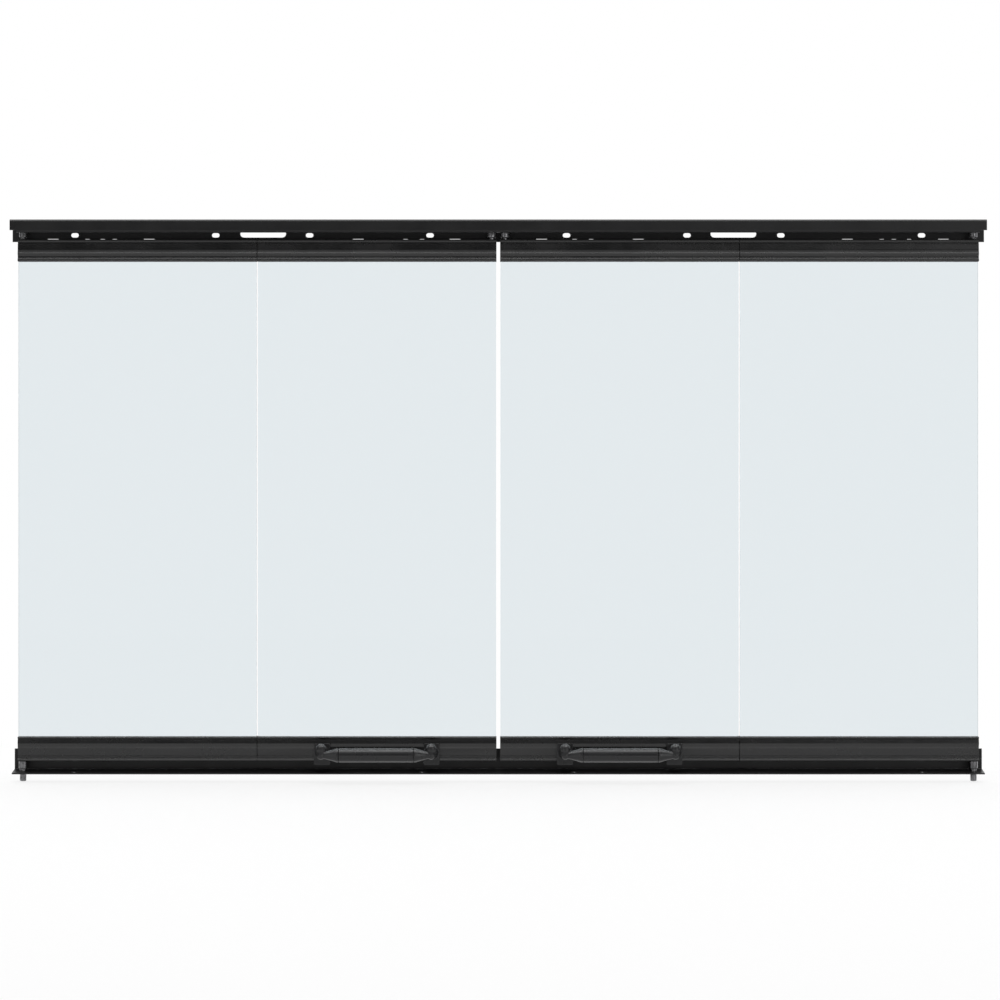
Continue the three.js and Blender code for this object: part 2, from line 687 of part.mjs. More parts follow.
// A plate on the rail, an arm that rises to a ball and bends down to the grip's axis, and a horn
// that flares out to the grip. `way` is the side on which the grip lies.
function handleMount(way) {
  const { width, height, thickness, drop, corner } = HANDLE_PLATE;
  const low = bottomRailFoot - drop;
  const half = width / 2;
  const outline = [
    [-half + corner, low], [half - corner, low], [half, low + corner],
    [half, low + height - corner], [half - corner, low + height], [-half + corner, low + height],
    [-half, low + height - corner], [-half, low + corner],
  ];
  const plate = towardsRoom(shapeOf(outline), plateBack, thickness);
  const foot = new THREE.Vector3(0, plateFrontY + thickness / 2, screwZ);
  const top = new THREE.Vector3(0, gripY + BALL.back, gripZ + BALL.rise);
  const elbow = new THREE.Vector3(0, gripY, gripZ);
  const hornEnd = HANDLE_SPACING / 2 - GRIP.length / 2 - SEAT_GAP;
  const flare = HORN.steps.map((along) => [
    HORN.throat + (GRIP.radius - HORN.throat) * along ** HORN.curve,
    along * (hornEnd - HORN.land),
  ]);
  const horn = turned([
    [0, 0],
    ...flare,
    [GRIP.radius, hornEnd],
    [SPIGOT.radius, hornEnd],
    [SPIGOT.radius, hornEnd + SPIGOT.length],
    [0, hornEnd + SPIGOT.length],
  ], X.clone().multiplyScalar(way), HANDLE_ROUND).translate(0, gripY, gripZ);
  const screwBore = cylinder(SCREW.radius + SEAT_GAP, 0, thickness + SCREW.grip + SEAT_GAP,
    Y.clone().negate(), SMALL_ROUND).translate(0, plateBack + SEAT_GAP, screwZ);
  return cut(
    join(
      plate,
      taperedBar(foot, top, STEM.foot, STEM.top),
      ball(top, BALL.radius),
      taperedBar(top, elbow, NECK_RADIUS, NECK_RADIUS),
      ball(elbow, NECK_RADIUS),
      horn,
    ),
    screwBore,
  );
}

function handleGrip() {
  const half = GRIP.length / 2;
  const { radius, chamfer } = GRIP;
  return turned([
    [0, -half + GRIP_BORE.depth],
    [GRIP_BORE.radius, -half + GRIP_BORE.depth],
    [GRIP_BORE.radius, -half],
    [radius - chamfer, -half],
    [radius, -half + chamfer],
    [radius, half - chamfer],
    [radius - chamfer, half],
    [GRIP_BORE.radius, half],
    [GRIP_BORE.radius, half - GRIP_BORE.depth],
    [0, half - GRIP_BORE.depth],
  ], X, HANDLE_ROUND);
}

// From behind, through both walls of the rail and into the mount's foot
function handleScrew() {
  const { radius, head, headHeight, grip } = SCREW;
  const length = SEAT_GAP + RAIL_DEPTH + SEAT_GAP + HANDLE_PLATE.thickness + grip - SEAT_GAP;
  return turned([
    [0, -length],
    [radius, -length],
    [radius, 0],
    [head, 0],
    [head, headHeight / 2],
    [head / 2, headHeight],
    [0, headHeight],
  ], Y, SMALL_ROUND);
}

function screwHole(x) {
  return cylinder(SCREW.radius + SEAT_GAP, -1, RAIL_DEPTH + 1, Y, SMALL_ROUND)
    .translate(x, railFront, screwZ);
}

// ---- Assembly -----------------------------------------------------------------------------------------

place(door, "top_track", topTrack(), satinBlack);
place(door, "bottom_track", bottomTrack(), satinBlack);

for (const [name, way] of [["left", -1], ["right", 1]]) {
  // The outer panel, from its pivots at the jamb to the hinges
  const outer = new THREE.Group();
  outer.position.x = way * outerCentre;
  const pivot = way * (halfPanel - PIN_INSET);
  const outerHinge = -way * (halfPanel + HINGE_GAP / 2);
  const part = (piece) => `${name}_outer_${piece}`;
  place(outer, part("glass"), glassPanel(), clearGlass);
  place(outer, part("top_rail"), topRail(flangeBore(SPRING.bore, topRailHead, way)), railBlack);
  place(outer, part("bottom_rail"),
    bottomRail(flangeBore(BOTTOM_PIVOT.shank + SEAT_GAP, bottomRailFoot, way)), railBlack);
  place(outer, part("top_gasket"), gasket(topPocketFloor, -1), rubber);
  place(outer, part("bottom_gasket"), gasket(bottomPocketFloor, 1), rubber);
  place(outer, `${name}_top_pivot_block`, topBlock(way, SPRING.bore), nylon);
  place(outer, `${name}_bottom_pivot_block`,
    bottomBlock(way, BOTTOM_PIVOT.shank + SEAT_GAP), nylon);
  place(outer, `${name}_bottom_pivot_pin`, bottomPivotPin(), steel, pivot, -PIN_LINE);
  place(outer, `${name}_pivot_spring`, wireTube(wireLine, SPRING.wire / 2), steel, pivot, -PIN_LINE);
  place(outer, `${name}_top_pivot_pin`, topPivotPin(), steel, pivot, -PIN_LINE);
  for (const [level, hinge] of [["top", topHinge], ["bottom", bottomHinge]]) {
    place(outer, part(`${level}_hinge_leaf`), hingeLeaf(hinge, way, [0, 2]), satinBlack, outerHinge);
    place(outer, `${name}_${level}_hinge_pin`, hingePin(hinge), steel, outerHinge, hingeAxisY);
  }
  door.add(outer);

  // The inner panel, from the hinges to its guide at the centre, with the handle
  const inner = new THREE.Group();
  inner.position.x = way * innerCentre;
  const guide = -way * (halfPanel - PIN_INSET);
  const innerHinge = way * (halfPanel + HINGE_GAP / 2);
  const leadPart = (piece) => `${name}_inner_${piece}`;
  const mounts = [-HANDLE_SPACING / 2, HANDLE_SPACING / 2];
  place(inner, leadPart("glass"), glassPanel(), clearGlass);
  place(inner, leadPart("top_rail"),
    topRail(flangeBore(GUIDE.shank + SEAT_GAP, topRailHead, -way)), railBlack);
  place(inner, leadPart("bottom_rail"), bottomRail(...mounts.map(screwHole)), railBlack);
  place(inner, leadPart("top_gasket"), gasket(topPocketFloor, -1), rubber);
  place(inner, leadPart("bottom_gasket"), gasket(bottomPocketFloor, 1), rubber);
  place(inner, `${name}_guide_block`, topBlock(-way, GUIDE.shank + SEAT_GAP), nylon);
  place(inner, `${name}_guide_pin`, guidePin(), steel, guide, -PIN_LINE);
  for (const [level, hinge] of [["top", topHinge], ["bottom", bottomHinge]]) {
    place(inner, leadPart(`${level}_hinge_leaf`), hingeLeaf(hinge, -way, [1]), satinBlack, innerHinge);
  }
  place(inner, `${name}_handle_grip`, handleGrip(), handleBlack, 0, gripY, gripZ);
  for (const x of mounts) {
    const end = x * way > 0 ? "outer" : "inner";
    place(inner, `${name}_handle_${end}_mount`, handleMount(-Math.sign(x)), handleBlack, x);
    place(inner, `${name}_handle_${end}_screw`, handleScrew(), steel, x, railBack + SEAT_GAP, screwZ);
  }
  door.add(inner);
}

export default door;
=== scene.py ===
import json
import math

import bmesh
import bpy
from mathutils import Matrix, Vector

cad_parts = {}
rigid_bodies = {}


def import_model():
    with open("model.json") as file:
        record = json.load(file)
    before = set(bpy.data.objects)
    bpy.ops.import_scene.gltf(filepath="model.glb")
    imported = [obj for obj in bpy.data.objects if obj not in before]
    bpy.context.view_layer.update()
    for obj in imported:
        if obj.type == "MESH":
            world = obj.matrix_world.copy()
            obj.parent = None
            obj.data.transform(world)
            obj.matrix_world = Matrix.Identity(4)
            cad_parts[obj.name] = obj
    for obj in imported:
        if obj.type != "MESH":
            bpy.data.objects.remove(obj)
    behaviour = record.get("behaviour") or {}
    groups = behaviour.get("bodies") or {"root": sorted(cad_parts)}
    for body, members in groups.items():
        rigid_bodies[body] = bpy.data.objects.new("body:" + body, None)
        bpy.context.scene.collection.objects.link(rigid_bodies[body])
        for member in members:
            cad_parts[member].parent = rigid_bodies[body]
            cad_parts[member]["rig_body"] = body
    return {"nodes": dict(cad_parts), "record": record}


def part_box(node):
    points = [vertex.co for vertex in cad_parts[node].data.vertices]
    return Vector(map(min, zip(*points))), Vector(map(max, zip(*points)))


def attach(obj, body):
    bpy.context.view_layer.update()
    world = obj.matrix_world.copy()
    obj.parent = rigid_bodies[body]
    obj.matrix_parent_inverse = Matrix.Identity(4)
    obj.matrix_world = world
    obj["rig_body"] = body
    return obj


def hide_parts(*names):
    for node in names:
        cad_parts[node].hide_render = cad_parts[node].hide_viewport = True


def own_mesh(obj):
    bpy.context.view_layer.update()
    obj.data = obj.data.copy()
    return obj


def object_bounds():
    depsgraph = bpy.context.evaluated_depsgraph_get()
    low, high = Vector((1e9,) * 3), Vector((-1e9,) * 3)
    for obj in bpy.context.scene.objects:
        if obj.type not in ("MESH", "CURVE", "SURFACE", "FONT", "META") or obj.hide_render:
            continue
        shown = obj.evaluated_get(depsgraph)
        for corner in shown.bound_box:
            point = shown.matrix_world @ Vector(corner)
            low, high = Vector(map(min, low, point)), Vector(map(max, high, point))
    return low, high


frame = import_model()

# A bi-fold glass door set for a built-in fireplace, seen straight on in a white studio.
# Metres. The camera stands in front, at -Y, and +Z is up.

cad_low, cad_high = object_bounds()
SIDES = ("left", "right")
DOORS = ("outer", "inner")
LEVELS = ("top", "bottom")
MILLIMETRES = 1000  # in a metre


# ---- Materials -------------------------------------------------------------------------------

MAP_VECTOR_LOW, MAP_VECTOR_HIGH = 9, 10  # a vector map range's To Min and To Max sockets


def new_group(name, inputs, outputs):
    """An empty node group with its sockets, and its input and output nodes."""
    tree = bpy.data.node_groups.new(name, "ShaderNodeTree")
    for label, kind, value in inputs:
        socket = tree.interface.new_socket(label, in_out="INPUT", socket_type=kind)
        socket.default_value = value
    for label, kind in outputs:
        tree.interface.new_socket(label, in_out="OUTPUT", socket_type=kind)
    return tree, tree.nodes.new("NodeGroupInput"), tree.nodes.new("NodeGroupOutput")


def object_place(tree):
    return tree.nodes.new("ShaderNodeTexCoord").outputs["Object"]


def noise(tree, vector, scale, detail, roughness=0.5):
    """Noise whose scale is in waves to a metre."""
    node = tree.nodes.new("ShaderNodeTexNoise")
    node.inputs["Detail"].default_value = detail
    node.inputs["Roughness"].default_value = roughness
    if isinstance(scale, (int, float)):
        node.inputs["Scale"].default_value = scale
    else:
        tree.links.new(scale, node.inputs["Scale"])
    tree.links.new(vector, node.inputs["Vector"])
    return node.outputs["Fac"]


def ramp(tree, value, low, high, to_low=0.0, to_high=1.0):
    """A value between low and high, spread smoothly from to_low to to_high."""
    node = tree.nodes.new("ShaderNodeMapRange")
    node.interpolation_type = "SMOOTHSTEP"
    limits = {"From Min": low, "From Max": high, "To Min": to_low, "To Max": to_high}
    for socket, number in limits.items():
        node.inputs[socket].default_value = number
    tree.links.new(value, node.inputs["Value"])
    return node.outputs["Result"]


def calculate(tree, operation, first, second):
    """One step of arithmetic on sockets or plain numbers."""
    node = tree.nodes.new("ShaderNodeMath")
    node.operation = operation
    for socket, value in zip(node.inputs, (first, second)):
        if isinstance(value, (int, float)):
            socket.default_value = value
        else:
            tree.links.new(value, socket)
    return node.outputs["Value"]


def blend_colours(tree, share, first, second):
    """The first colour, going over to the second by a share."""
    node = tree.nodes.new("ShaderNodeMix")
    node.data_type = "RGBA"
    tree.links.new(share, node.inputs["Factor"])
    tree.links.new(first, node.inputs["A"])
    tree.links.new(second, node.inputs["B"])
    return node.outputs["Result"]


def make_paint_finish():
    """Sprayed and baked paint: a pebbled skin, cloudy gloss and a few specks of dust."""
    tree, given, result = new_group(
        "Paint finish",
        [("Colour", "NodeSocketColor", (0.02, 0.02, 0.02, 1)),
         ("Dust colour", "NodeSocketColor", (0.3, 0.29, 0.27, 1)),
         ("Pebble size", "NodeSocketFloat", 900.0),
         ("Gloss", "NodeSocketFloat", 0.4),
         ("Dust", "NodeSocketFloat", 0.3)],
        [("Colour", "NodeSocketColor"),
         ("Roughness", "NodeSocketFloat"),
         ("Height", "NodeSocketFloat")])
    place = object_place(tree)
    pebbles = noise(tree, place, given.outputs["Pebble size"], detail=2.0)
    clouds = noise(tree, place, 26.0, detail=4.0, roughness=0.6)
    specks = ramp(tree, noise(tree, place, 1500.0, detail=1.0), 0.74, 0.8)
    patches = ramp(tree, noise(tree, place, 14.0, detail=3.0), 0.45, 0.7)
    dusty = calculate(tree, "MULTIPLY", specks, patches)
    dust = calculate(tree, "MULTIPLY", dusty, given.outputs["Dust"])
    tree.links.new(
        blend_colours(tree, dust, given.outputs["Colour"], given.outputs["Dust colour"]),
        result.inputs["Colour"])
    unevenness = ramp(tree, clouds, 0.3, 0.7, -0.05, 0.06)
    rough = calculate(tree, "ADD", given.outputs["Gloss"], unevenness)
    dulled = calculate(tree, "ADD", rough, calculate(tree, "MULTIPLY", dust, 0.3))
    tree.links.new(dulled, result.inputs["Roughness"])
    tree.links.new(pebbles, result.inputs["Height"])
    return tree


def make_turned_finish():
    """Steel from the lathe: fine rings round the axis, which runs along Z, and darker patches."""
    tree, given, result = new_group(
        "Turned finish",
        [("Colour", "NodeSocketColor", (0.3, 0.3, 0.31, 1)),
         ("Dark colour", "NodeSocketColor", (0.12, 0.12, 0.12, 1)),
         ("Gloss", "NodeSocketFloat", 0.3)],
        [("Colour", "NodeSocketColor"),
         ("Roughness", "NodeSocketFloat"),
         ("Height", "NodeSocketFloat")])
    place = object_place(tree)
    stretch = tree.nodes.new("ShaderNodeMapping")
    stretch.inputs["Scale"].default_value = (40.0, 40.0, 5000.0)
    tree.links.new(place, stretch.inputs["Vector"])
    rings = noise(tree, stretch.outputs["Vector"], 1.0, detail=2.0)
    patches = ramp(tree, noise(tree, place, 320.0, detail=4.0, roughness=0.6), 0.42, 0.68)
    tree.links.new(
        blend_colours(tree, patches, given.outputs["Colour"], given.outputs["Dark colour"]),
        result.inputs["Colour"])
    dulling = calculate(tree, "MULTIPLY", patches, 0.18)
    tree.links.new(calculate(tree, "ADD", given.outputs["Gloss"], dulling),
                   result.inputs["Roughness"])
    tree.links.new(rings, result.inputs["Height"])
    return tree


def surface(name, **settings):
    """A new material, its tree and its Principled shader, with plain settings on its sockets."""
    made = bpy.data.materials.new(name)
    made.use_nodes = True
    shader = made.node_tree.nodes["Principled BSDF"]
    for socket, value in settings.items():
        shader.inputs[socket.replace("_", " ")].default_value = value
    return made, made.node_tree, shader


def add_relief(tree, shader, height, strength, reach):
    """Joins a height to a shader as a bump that reaches so many metres."""
    bump = tree.nodes.new("ShaderNodeBump")
    bump.inputs["Strength"].default_value = strength
    bump.inputs["Distance"].default_value = reach
    tree.links.new(height, bump.inputs["Height"])
    tree.links.new(bump.outputs["Normal"], shader.inputs["Normal"])


def finish_with(tree, shader, group, values, relief, reach):
    """Joins a finish group to a shader; relief and reach belong to its bump, in metres."""
    node = tree.nodes.new("ShaderNodeGroup")
    node.node_tree = group
    for label, value in values.items():
        node.inputs[label].default_value = value
    tree.links.new(node.outputs["Colour"], shader.inputs["Base Color"])
    tree.links.new(node.outputs["Roughness"], shader.inputs["Roughness"])
    add_relief(tree, shader, node.outputs["Height"], relief, reach)


def painted(name, colour, gloss, dust, pebble_size=900.0, relief=0.12, ior=1.5):
    """A painted metal; a lower gloss value gives sharper reflections."""
    made, tree, shader = surface(name, Metallic=0.0, IOR=ior)
    values = {"Colour": colour, "Gloss": gloss, "Dust": dust, "Pebble size": pebble_size}
    finish_with(tree, shader, paint_finish, values, relief, reach=0.00006)
    return made


def make_steel():
    made, tree, shader = surface("Pin steel", Metallic=1.0, IOR=1.5)
    finish_with(tree, shader, turned_finish, {}, relief=0.2, reach=0.00003)
    return made


def make_glass():
    """Clear tempered glass with a faint blue cast."""
    made, tree, shader = surface(
        "Door glass", Metallic=0.0, IOR=1.5, Transmission_Weight=1.0, Roughness=0.0)
    place = object_place(tree)
    cast = tree.nodes.new("ShaderNodeMapRange")
    cast.data_type = "FLOAT_VECTOR"
    cast.inputs[MAP_VECTOR_LOW].default_value = (0.80, 0.855, 0.88)
    cast.inputs[MAP_VECTOR_HIGH].default_value = (0.81, 0.86, 0.885)
    clouds = tree.nodes.new("ShaderNodeCombineXYZ")
    for axis in clouds.inputs:
        tree.links.new(noise(tree, place, 5.0, detail=2.0), axis)
    tree.links.new(clouds.outputs["Vector"], cast.inputs["Vector"])
    tree.links.new(cast.outputs["Vector"], shader.inputs["Base Color"])
    return made


def make_rubber(name, colour, gloss, spread=0.08):
    """Matt rubber or nylon, whose gloss varies by the spread."""
    made, tree, shader = surface(name, Metallic=0.0, IOR=1.5, Base_Color=colour)
    place = object_place(tree)
    clouds = noise(tree, place, 300.0, detail=4.0)
    tree.links.new(ramp(tree, clouds, 0.3, 0.7, gloss - spread, gloss + spread),
                   shader.inputs["Roughness"])
    grain = noise(tree, place, 2200.0, detail=2.0)
    add_relief(tree, shader, grain, strength=0.25, reach=0.00005)
    return made


paint_finish = make_paint_finish()
turned_finish = make_turned_finish()
FINISH = {
    "track_paint": painted("Track paint", (0.009, 0.009, 0.0095, 1), gloss=0.38, dust=0.5),
    "rail_paint": painted("Rail paint", (0.0085, 0.0085, 0.0088, 1), gloss=0.24, dust=0.35,
                          ior=1.8),
    "handle_paint": painted("Handle enamel", (0.022, 0.022, 0.023, 1), gloss=0.27, dust=0.2,
                            pebble_size=500.0, relief=0.08),
    "door_glass": make_glass(),
    "gasket_rubber": make_rubber("Gasket rubber", (0.012, 0.012, 0.012, 1), gloss=0.7),
    "block_nylon": make_rubber("Block nylon", (0.015, 0.015, 0.016, 1), gloss=0.5),
    "pin_steel": make_steel(),
}


# ---- Mesh helpers ----------------------------------------------------------------------------

FLAT_WITHIN = 0.6  # degrees between faces that count as one flat face
SAME_CORNER = 1e-6
SAME_SPUN_CORNER = 1e-7
LONG_EDGE = 0.05
SQUARE_CORNER = 60  # degrees between the faces, from which an edge is softened
# Degrees between the faces, from which an edge is shaded as a sharp one
SHARP = {"folded": 40, "rail": 36, "gasket": 40, "glass": 40, "turned": 30, "wire": 60,
         "pressed": 35, "cast": 80}

slot_of = {row["node"]: row["material_slot"] for row in frame["record"]["subparts"]}


def body_of(node):
    return frame["nodes"][node]["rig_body"]


def add_piece(name, mesh, nodes, kind):
    """Writes a bmesh out as a piece that stands for CAD nodes and rides with the first one."""
    data = bpy.data.meshes.new(name)
    mesh.to_mesh(data)
    mesh.free()
    for polygon in data.polygons:
        polygon.use_smooth = True
    data.set_sharp_from_angle(angle=math.radians(SHARP[kind]))
    piece = bpy.data.objects.new(name, data)
    bpy.context.scene.collection.objects.link(piece)
    material_slot = slot_of[nodes[0]]
    data.materials.append(FINISH[material_slot])
    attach(piece, body_of(nodes[0]))
    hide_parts(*nodes)
    # Wide faces keep their own direction where a narrow rounding meets them
    even = piece.modifiers.new("Even shading", "WEIGHTED_NORMAL")
    even.keep_sharp = True
    return piece


def merged_copy(node):
    """A CAD node's mesh with its corners joined and its flat faces whole."""
    mesh = bmesh.new()
    mesh.from_mesh(frame["nodes"][node].data)
    bmesh.ops.remove_doubles(mesh, verts=mesh.verts, dist=SAME_CORNER)
    bmesh.ops.dissolve_limit(mesh, angle_limit=math.radians(FLAT_WITHIN), verts=mesh.verts,
                             edges=mesh.edges)
    return mesh


def soften(mesh, edges, width, segments=2):
    bmesh.ops.bevel(mesh, geom=edges, offset=width, affect="EDGES", segments=segments,
                    profile=0.5, material=-1, clamp_overlap=True)


def edges_along_x(mesh, least_angle):
    """The long edges that lie along X where two faces meet at more than an angle."""
    found = []
    for edge in mesh.edges:
        way = edge.verts[1].co - edge.verts[0].co
        if abs(way.x) < LONG_EDGE or not edge.is_manifold:
            continue
        if edge.calc_face_angle() > math.radians(least_angle):
            found.append(edge)
    return found


def turn_profile(mesh, profile, segments):
    """Adds a [radius, height] profile to a mesh, turned once round the Z axis."""
    corners = [mesh.verts.new((radius, 0, height)) for radius, height in profile]
    edges = [mesh.edges.new(pair) for pair in zip(corners, corners[1:])]
    bmesh.ops.spin(mesh, geom=corners + edges, cent=(0, 0, 0), axis=(0, 0, 1),
                   angle=math.tau, steps=segments, use_merge=True)


def spun(profile, centre, segments=48):
    """A [radius, height] profile, turned once round a vertical line."""
    mesh = bmesh.new()
    turn_profile(mesh, profile, segments)
    bmesh.ops.remove_doubles(mesh, verts=mesh.verts, dist=SAME_SPUN_CORNER)
    bmesh.ops.recalc_face_normals(mesh, faces=mesh.faces)
    bmesh.ops.translate(mesh, verts=mesh.verts, vec=centre)
    return mesh


def centre_of(node):
    low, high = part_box(node)
    return (low + high) / 2


# ---- The CAD nodes' own finishes -------------------------------------------------------------

for node, piece in frame["nodes"].items():
    piece.data.materials.clear()
    piece.data.materials.append(FINISH[slot_of[node]])


# ---- Tracks, rails, gaskets and glass --------------------------------------------------------

TRACK_BEND = 0.00025
RAIL_CORNER = 40  # degrees
RAIL_ROUND = 0.0002
GASKET_ROUND = 0.0002
GLASS_ARRIS = 0.0004  # the round ground along a pane's edges

# The lines of a rail's front as the real rails show them, in millimetres. Each row gives a line's
# distance from the outer edge in the CAD source's plain section, its real distance and, where
# that changes too, its real depth behind the ridge's crest.
FRONT_LINES = {
    "top": [
        # The outer bead, its groove and the start of the flat
        (0, 0), (2.4, 2.5), (4.3, 4.2, 1.35),
        # The end of the flat and the flare up to the ridge
        (9.9, 8.25, 1.35), (10.8, 9.2, 1.28), (11.7, 10.1, 1.12),
        (12.6, 11.0, 0.85), (13.5, 12.0, 0.47), (13.9, 12.8, 0.05),
        # The ridge's crest and far slope
        (14.3, 12.95, 0), (14.9, 13.3, 0.12), (15.9, 14.0, 0.45), (16.9, 14.8, 0.85),
        # The bead along the glass
        (18.1, 17.7), (20.5, 20.5)],
    "bottom": [
        (0, 0), (2.4, 2.3), (4.3, 5.0, 1.35),
        (6.5, 6.5, 1.35), (12.2, 12.1, 1.35), (13.1, 13.0, 1.28), (14.0, 13.9, 1.12),
        (14.9, 14.8, 0.85), (15.8, 15.7, 0.47), (16.2, 16.4, 0.05),
        (16.6, 16.6, 0), (17.2, 17.1, 0.12), (18.2, 18.4, 0.5), (19.2, 19.9, 0.95),
        (20.4, 21.0), (22.8, 22.8)],
}
FRONT_DEPTH = 1.5  # the front's lines lie no deeper, and the hollow inside begins behind it
OUTER_DEPTH = 2.15  # the outer groove is deeper
OUTER_LINES = 5.0  # the outer bead and groove end within this distance
ON_THE_LINE = 0.999  # the share of the way to the next line that counts as on it


def real_line(distance, depth, lines):
    """Where a point of the plain section's front lies on the real rail, as [distance, depth]."""
    for before, after in zip(lines, lines[1:]):
        if distance > after[0]:
            continue
        share = (distance - before[0]) / (after[0] - before[0])
        if len(before) > 2 and len(after) > 2:
            depth = before[2] + (after[2] - before[2]) * share
        elif share > ON_THE_LINE and len(after) > 2:
            depth = after[2]
        return before[1] + (after[1] - before[1]) * share, depth
    return distance, depth


def shape_front(rail, level):
    """Gives a rail's beads, grooves and flared ridge their real widths and depths."""
    front = min(corner.co.y for corner in rail.verts)
    heights = [corner.co.z for corner in rail.verts]
    edge, way = (max(heights), -1) if level == "top" else (min(heights), 1)
    for corner in rail.verts:
        distance = way * (corner.co.z - edge) * MILLIMETRES
        depth = (corner.co.y - front) * MILLIMETRES
        if depth > (OUTER_DEPTH if distance < OUTER_LINES else FRONT_DEPTH):
            continue
        distance, depth = real_line(distance, depth, FRONT_LINES[level])
        corner.co.y = front + depth / MILLIMETRES
        corner.co.z = edge + way * distance / MILLIMETRES


for level in LEVELS:
    node = f"{level}_track"
    track = merged_copy(node)
    soften(track, edges_along_x(track, SQUARE_CORNER), TRACK_BEND)
    add_piece(f"{node}_folded", track, [node], "folded")

for side in SIDES:
    for door in DOORS:
        for level in LEVELS:
            node = f"{side}_{door}_{level}_rail"
            rail = merged_copy(node)
            shape_front(rail, level)
            soften(rail, edges_along_x(rail, RAIL_CORNER), RAIL_ROUND, segments=3)
            add_piece(f"{node}_softened", rail, [node], "rail")
            node = f"{side}_{door}_{level}_gasket"
            gasket = merged_copy(node)
            soften(gasket, edges_along_x(gasket, SQUARE_CORNER), GASKET_ROUND)
            add_piece(f"{node}_softened", gasket, [node], "gasket")
        node = f"{side}_{door}_glass"
        low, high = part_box(node)
        pane = bmesh.new()
        bmesh.ops.create_cube(pane, size=1.0, matrix=Matrix.Translation((low + high) / 2)
                              @ Matrix.Diagonal((*(high - low), 1)))
        soften(pane, pane.edges[:], GLASS_ARRIS, segments=4)
        add_piece(f"{node}_ground", pane, [node], "glass")


# ---- Pins ------------------------------------------------------------------------------------

def rounded(radius, height, round_over, above, steps=5):
    """A quarter-round corner at [radius, height]; the pin's body lies above it or below it."""
    way = 1 if above else -1
    turns = [math.pi / 2 * step / steps for step in range(steps + 1)]
    arc = [(radius - round_over * (1 - math.sin(turn)),
            height + way * round_over * (1 - math.cos(turn))) for turn in turns]
    return arc if above else arc[::-1]


def pin(node, profile):
    """A turned pin whose profile is given in millimetres, from its foot to its head."""
    middle = centre_of(node)
    profile = [(radius / MILLIMETRES, height / MILLIMETRES) for radius, height in profile]
    add_piece(f"{node}_turned", spun(profile, (middle.x, middle.y, 0)), [node], "turned")


# Each pin's [radius, height] profile, in millimetres
PIN_PROFILES = {
    # A thin foot in the spring, and a head that stands through the track's hole
    "top_pivot_pin": [
        (0, 479.6), *rounded(1.6, 479.6, 0.3, True), (1.6, 488.6),
        *rounded(3.7, 488.6, 0.7, True), *rounded(3.7, 503.2, 0.3, False),
        (3.0, 503.2), *rounded(3.0, 504.7, 0.5, False), (0, 504.7)],
    # A foot in the block, a collar, and the wide glide inside the track
    "guide_pin": [
        (0, 477.5), *rounded(2.5, 477.5, 0.3, True), (2.5, 487.9),
        *rounded(4.35, 487.9, 1.2, True), (4.35, 494.4),
        *rounded(5.7, 494.4, 0.8, True), *rounded(5.7, 500.9, 0.8, False), (0, 500.9)],
    # A spigot through the web's hole, the collar that rests on it, and a post in the block
    "bottom_pivot_pin": [
        (0, -19.68), *rounded(3.0, -19.68, 1.0, True), (3.0, -9.38), (3.3, -9.38),
        *rounded(4.1, -8.2, 0.8, True), *rounded(4.1, -1.1, 0.3, False), (2.5, -1.1),
        *rounded(2.5, 10.4, 0.3, False), (0, 10.4)],
}
for side in SIDES:
    for name, profile in PIN_PROFILES.items():
        pin(f"{side}_{name}", profile)


# ---- Springs ---------------------------------------------------------------------------------

# Six curls of 0.8 mm wire between the block's floor and the pin's shoulder
CURLS = 6
CURL_STEPS = 28
CURL_RADIUS = 0.0023
WIRE_RADIUS = 0.0004

for side in SIDES:
    node = f"{side}_pivot_spring"
    low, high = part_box(node)
    middle = centre_of(f"{side}_top_pivot_pin")
    coil = bmesh.new()
    foot = Matrix.Translation((CURL_RADIUS, 0, low.z + 2 * WIRE_RADIUS))
    bmesh.ops.create_circle(coil, segments=10, radius=WIRE_RADIUS, cap_ends=True,
                            matrix=foot @ Matrix.Rotation(math.pi / 2, 4, "X"))
    rise = high.z - low.z - 4 * WIRE_RADIUS
    steps = CURLS * CURL_STEPS
    bmesh.ops.spin(coil, geom=coil.faces[:], cent=(0, 0, 0), axis=(0, 0, 1),
                   dvec=(0, 0, rise / steps), angle=math.tau * CURLS, steps=steps)
    bmesh.ops.translate(coil, verts=coil.verts, vec=(middle.x, middle.y, 0))
    bmesh.ops.recalc_face_normals(coil, faces=coil.faces)
    spring = add_piece(f"{node}_wound", coil, [node], "wire")
    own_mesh(spring)


# ---- Hinges ----------------------------------------------------------------------------------

LEAF_ROUND = 0.00012
LEAF_EDGE = 0.004  # shorter edges are left sharp
HINGE_PIN = {"radius": 1.1, "foot_round": 0.2}  # millimetres
HINGE_HEAD = {"radius": 1.7, "height": 0.8, "round": 0.6}


def leaf_edges(leaf):
    return [edge for edge in leaf.edges if edge.is_manifold and edge.calc_length() > LEAF_EDGE
            and edge.calc_face_angle() > math.radians(SQUARE_CORNER)]


for side in SIDES:
    for level in LEVELS:
        for door in DOORS:
            node = f"{side}_{door}_{level}_hinge_leaf"
            leaf = merged_copy(node)
            soften(leaf, leaf_edges(leaf), LEAF_ROUND)
            add_piece(f"{node}_pressed", leaf, [node], "pressed")
        node = f"{side}_{level}_hinge_pin"
        low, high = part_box(node)
        foot, top = low.z * MILLIMETRES, high.z * MILLIMETRES
        under_head = top - HINGE_HEAD["height"]
        pin(node, [
            (0, foot), *rounded(HINGE_PIN["radius"], foot, HINGE_PIN["foot_round"], True),
            (HINGE_PIN["radius"], under_head), (HINGE_HEAD["radius"], under_head),
            *rounded(HINGE_HEAD["radius"], top, HINGE_HEAD["round"], False), (0, top)])


# ---- Handles ---------------------------------------------------------------------------------

